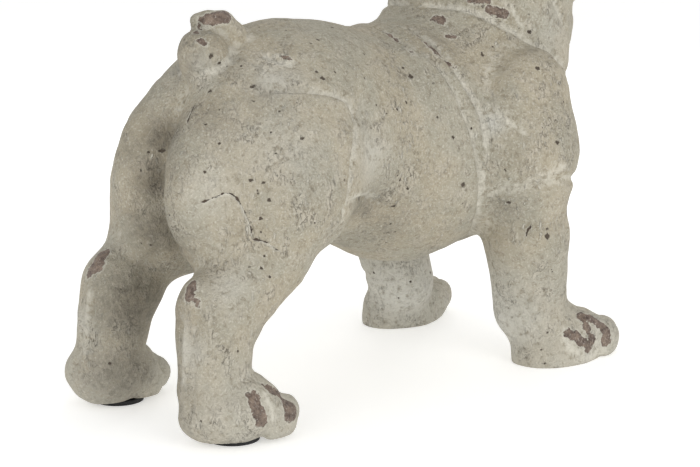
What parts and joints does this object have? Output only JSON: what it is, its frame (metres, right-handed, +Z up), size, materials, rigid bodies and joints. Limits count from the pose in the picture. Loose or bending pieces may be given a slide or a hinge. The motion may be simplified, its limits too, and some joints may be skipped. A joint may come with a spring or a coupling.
{
  "type": "dog figure",
  "caption": "Standing bulldog figure cast in resin with a worn cement look, tail coiled on the rump, on round foam pads under its hind paws.",
  "frame": {"origin": "the ground plane, under the middle of the figure's length and width", "axes": "+Z up, the dog faces -Y, and its left side is towards +X"},
  "size_m": [0.1838, 0.3532, 0.3],
  "materials": {
    "cement_resin": "rough matt cement-look coat over brown cast resin, worn through in patches",
    "black_foam": "matt foam rubber"
  },
  "bodies": {
    "root": {"bulldog_figure": "cement_resin", "foot_pad_left": "black_foam", "foot_pad_right": "black_foam"}
  },
  "joints": []
}
